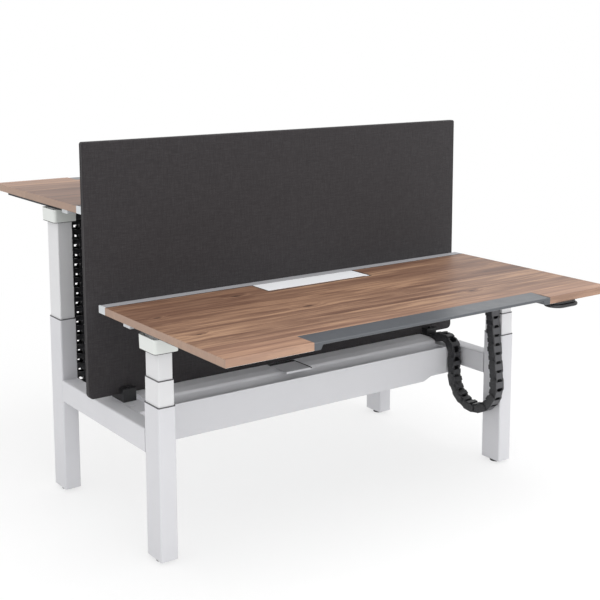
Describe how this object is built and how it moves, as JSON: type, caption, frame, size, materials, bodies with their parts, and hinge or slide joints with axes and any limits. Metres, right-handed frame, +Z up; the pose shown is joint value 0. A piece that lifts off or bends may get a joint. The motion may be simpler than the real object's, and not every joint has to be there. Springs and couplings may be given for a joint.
{
  "type": "benching workstation",
  "caption": "Double height-adjustable bench desk: two worktops back to back on a shared frame, with cable troughs, energy chains and a fabric screen between.",
  "frame": {"origin": "on the floor, at the middle of the workstation's footprint", "axes": "+X along the desks to the right of the front user, +Y from the front desk to the rear desk, +Z up"},
  "size_m": [1.65, 1.736, 1.323],
  "materials": {
    "frame_powder_coat": "light grey powder coat, fine satin",
    "tube_powder_coat": "white-grey powder coat on the upper tubes",
    "cap_powder_coat": "die-cast aluminium, powder coated light grey",
    "dark_steel": "black powder coat, matt",
    "zinc_steel": "zinc-plated steel, dull",
    "drive_steel": "machined steel",
    "glide_plastic": "grey acetal, matt",
    "black_plastic": "black moulded plastic, fine texture",
    "gasket_rubber": "black rubber",
    "oak_laminate": "rustic oak decor laminate on board, satin",
    "insert_plastic": "mid grey moulded plastic, matt",
    "anodised_aluminium": "anodised, grey, satin",
    "flap_aluminium": "white-silver coat, satin",
    "screen_fabric": "charcoal woven fabric over a board"
  },
  "bodies": {
    "base": {"outer_tube_front_left": "frame_powder_coat", "outer_tube_front_right": "frame_powder_coat", "outer_tube_rear_left": "frame_powder_coat", "outer_tube_rear_right": "frame_powder_coat", "levelling_feet": "black_plastic", "outer_glide_rings": "glide_plastic", "lift_screws": "drive_steel", "cross_beam_left": "frame_powder_coat", "cross_beam_right": "frame_powder_coat", "cable_trough_front": "frame_powder_coat", "cable_trough_rear": "frame_powder_coat", "frame_screws": "zinc_steel", "screen_panel": "screen_fabric", "screen_clamps": "black_plastic", "chain_base_fittings": "black_plastic", "chain_loop_front": "black_plastic", "chain_riser_front": "black_plastic", "cable_chain_rear": "black_plastic"},
    "middle_stage_front_left": {"middle_tube_front_left": "tube_powder_coat", "middle_ring_front_left": "glide_plastic", "hollow_spindle_front_left": "drive_steel"},
    "middle_stage_front_right": {"middle_tube_front_right": "tube_powder_coat", "middle_ring_front_right": "glide_plastic", "hollow_spindle_front_right": "drive_steel"},
    "front_desk": {"inner_tube_front_left": "tube_powder_coat", "inner_tube_front_right": "tube_powder_coat", "cap_housing_front_left": "cap_powder_coat", "cap_housing_front_right": "cap_powder_coat", "cap_gaskets_front": "gasket_rubber", "lift_drives_front": "drive_steel", "side_arms_front": "dark_steel", "crossbar_front": "dark_steel", "desktop_front": "oak_laminate", "edge_insert_front": "insert_plastic", "rear_rail_front": "anodised_aluminium", "control_box_front": "black_plastic", "handset_body_front": "black_plastic", "desk_screws_front": "zinc_steel", "chain_top_fitting_front": "black_plastic"},
    "front_flap": {"cable_flap_front": "flap_aluminium", "flap_hinge_pins_front": "zinc_steel"},
    "front_paddle": {"handset_paddle_front": "black_plastic"},
    "rear_desk": {"inner_tube_rear_left": "tube_powder_coat", "inner_tube_rear_right": "tube_powder_coat", "cap_housing_rear_left": "cap_powder_coat", "cap_housing_rear_right": "cap_powder_coat", "cap_gaskets_rear": "gasket_rubber", "lift_drives_rear": "drive_steel", "side_arms_rear": "dark_steel", "crossbar_rear": "dark_steel", "desktop_rear": "oak_laminate", "edge_insert_rear": "insert_plastic", "rear_rail_rear": "anodised_aluminium", "control_box_rear": "black_plastic", "handset_body_rear": "black_plastic", "desk_screws_rear": "zinc_steel", "chain_top_fitting_rear": "black_plastic"},
    "rear_flap": {"cable_flap_rear": "flap_aluminium", "flap_hinge_pins_rear": "zinc_steel"},
    "rear_paddle": {"handset_paddle_rear": "black_plastic"}
  },
  "joints": [
    {"name": "front_lift", "type": "slide", "parent": "base", "child": "front_desk", "axis": [0, 0, 1], "range_m": [-0.168, 0.486], "deforming": ["chain_riser_front"]},
    {"name": "front_middle_lift_left", "type": "slide", "parent": "base", "child": "middle_stage_front_left", "axis": [0, 0, 1], "range_m": [-0.084, 0.243]},
    {"name": "front_middle_lift_right", "type": "slide", "parent": "base", "child": "middle_stage_front_right", "axis": [0, 0, 1], "range_m": [-0.084, 0.243]},
    {"name": "rear_lift", "type": "slide", "parent": "base", "child": "rear_desk", "axis": [0, 0, 1], "range_m": [-0.352, 0.1], "deforming": ["cable_chain_rear"]},
    {"name": "front_flap_hinge", "type": "hinge", "parent": "front_desk", "child": "front_flap", "pos_m": [0, -0.104, 0.7815], "axis": [-1, 0, 0], "range_deg": [0, 100]},
    {"name": "front_paddle_rock", "type": "hinge", "parent": "front_desk", "child": "front_paddle", "pos_m": [0.575, -0.828, 0.7469], "axis": [-1, 0, 0], "range_deg": [-3, 3], "stiffness_Nm_per_rad": 3},
    {"name": "rear_flap_hinge", "type": "hinge", "parent": "rear_desk", "child": "rear_flap", "pos_m": [0, 0.104, 1.0955], "axis": [1, 0, 0], "range_deg": [0, 100]},
    {"name": "rear_paddle_rock", "type": "hinge", "parent": "rear_desk", "child": "rear_paddle", "pos_m": [-0.575, 0.828, 1.0609], "axis": [1, 0, 0], "range_deg": [-3, 3], "stiffness_Nm_per_rad": 3}
  ],
  "couplings": [
    {"joint": "front_middle_lift_left", "follows": "front_lift", "ratio": 0.5},
    {"joint": "front_middle_lift_right", "follows": "front_lift", "ratio": 0.5}
  ]
}
